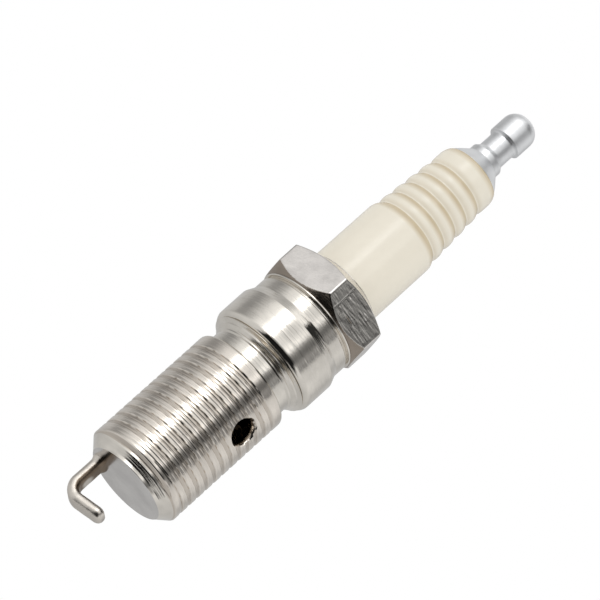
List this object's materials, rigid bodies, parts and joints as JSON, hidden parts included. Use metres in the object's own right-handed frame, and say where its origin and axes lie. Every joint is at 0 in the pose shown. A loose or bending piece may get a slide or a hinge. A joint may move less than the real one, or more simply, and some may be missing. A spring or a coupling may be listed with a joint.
{
  "type": "spark plug",
  "caption": "Hollow spark-plug-shaped body: threaded shell with side air hole and hooked bar, drum, hexagon, ribbed ivory insulator and bored rounded terminal; shell and terminal unscrew.",
  "frame": {"origin": "on the axis, in the plane where the shell's mouth meets the collar (the seat)", "axes": "+Z along the axis from the closed threaded end towards the terminal; +X is the direction from which the air hole's angle is counted"},
  "size_m": [0.0184, 0.0166, 0.0817],
  "materials": {
    "nickel_thread": "bright nickel plate, fine turning marks",
    "nickel_polished": "polished nickel plate",
    "nickel_rough": "scratched, rough-ground nickel",
    "bar_metal": "satin nickel",
    "ivory": "ivory, low gloss",
    "bright_aluminium": "bright turned",
    "tube_brass": "drawn tube",
    "seal_rubber": "matt black",
    "gasket_rubber": "matt red-brown",
    "screen_steel": "punched sheet"
  },
  "bodies": {
    "shell": {"threaded_shell": "nickel_thread", "ground_electrode": "bar_metal"},
    "shell_seal": {"shell_seal": "seal_rubber"},
    "rear": {"collar": "nickel_polished", "screen": "screen_steel", "trim_ring": "nickel_polished", "hex_body": "nickel_rough", "insulator_gasket": "gasket_rubber", "insulator": "ivory", "draw_tube": "tube_brass"},
    "terminal_seal": {"terminal_seal": "seal_rubber"},
    "terminal": {"terminal": "bright_aluminium"}
  },
  "joints": [
    {"name": "rear_lift", "type": "slide", "parent": "shell", "child": "shell_seal", "axis": [0, 0, 1], "range_m": [0, 0.00375]},
    {"name": "rear_turn", "type": "hinge", "parent": "shell_seal", "child": "rear", "pos_m": [0, 0, 0], "axis": [0, 0, 1], "range_deg": [0, 1800]},
    {"name": "terminal_lift", "type": "slide", "parent": "rear", "child": "terminal_seal", "axis": [0, 0, 1], "range_m": [0, 0.0021]},
    {"name": "terminal_turn", "type": "hinge", "parent": "terminal_seal", "child": "terminal", "pos_m": [0, 0, 0.042], "axis": [0, 0, 1], "range_deg": [0, 1260]}
  ],
  "couplings": [
    {"joint": "rear_turn", "follows": "rear_lift", "rad_per_m": 8377.6},
    {"joint": "terminal_turn", "follows": "terminal_lift", "rad_per_m": 10472}
  ]
}
